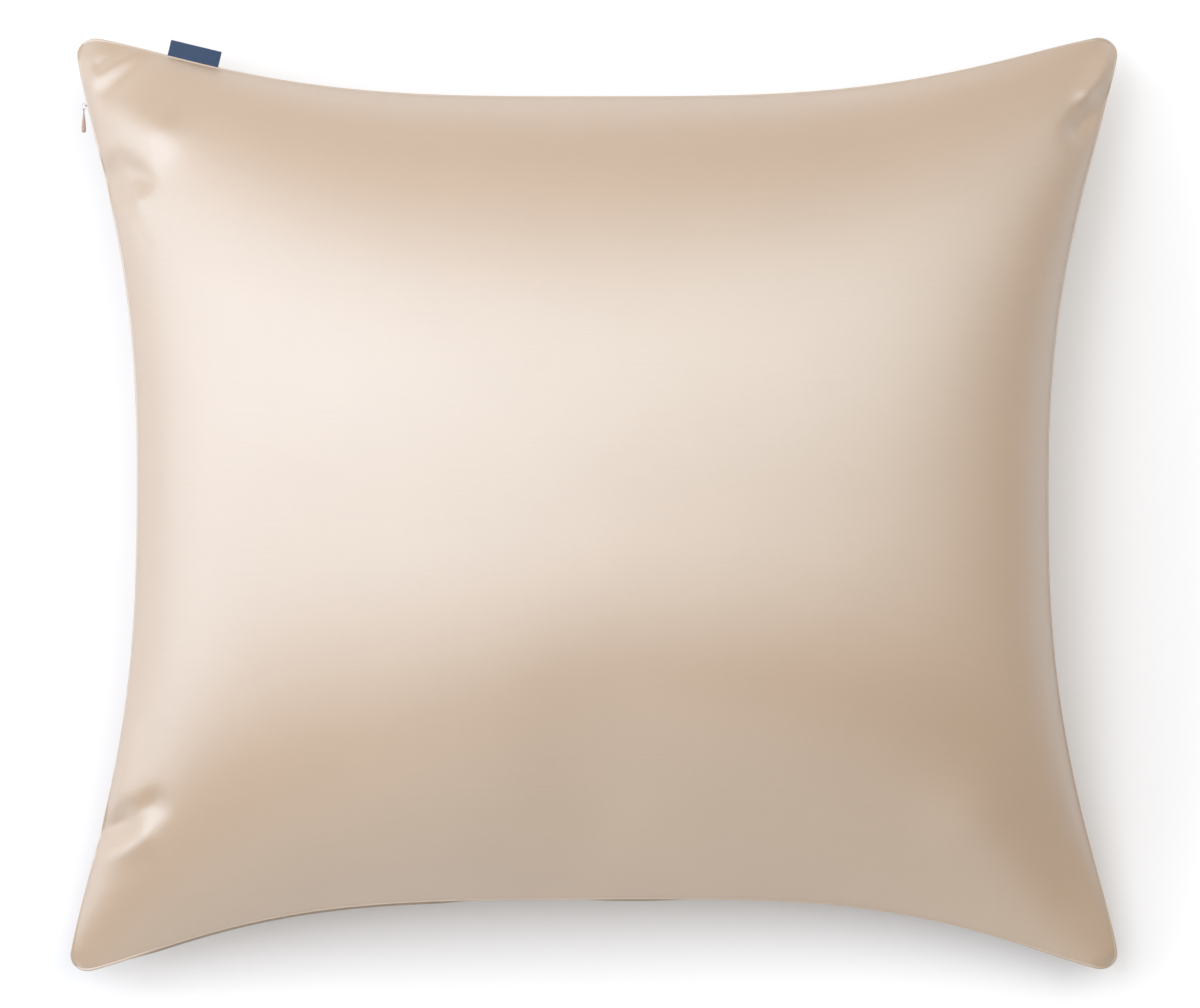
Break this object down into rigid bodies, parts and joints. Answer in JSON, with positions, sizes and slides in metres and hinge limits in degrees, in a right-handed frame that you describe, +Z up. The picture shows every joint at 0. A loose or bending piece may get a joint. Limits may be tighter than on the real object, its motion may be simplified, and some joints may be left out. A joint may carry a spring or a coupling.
{
  "type": "filled pillowcase",
  "caption": "Filled satin pillowcase lying on its back, with drawn-in sides, thin corners, soft folds, a folded seam label and the small pull of a concealed zip.",
  "frame": {"origin": "on the floor, under the middle of the case's span", "axes": "+X along the long side to the right as the front is seen with the label at the top, +Y towards the side with the label, +Z up out of the front panel"},
  "size_m": [0.77, 0.686, 0.2114],
  "materials": {
    "satin": "smooth satin weave with a soft sheen, champagne beige",
    "label_tape": "woven tape, matt blue",
    "zip_metal": "plated metal",
    "zip_paint": "painted to match the cloth, semi-gloss"
  },
  "bodies": {
    "root": {"case": "satin", "label": "label_tape", "zip_slider": "zip_metal", "zip_ring": "zip_metal", "zip_pull": "zip_paint"}
  },
  "joints": []
}
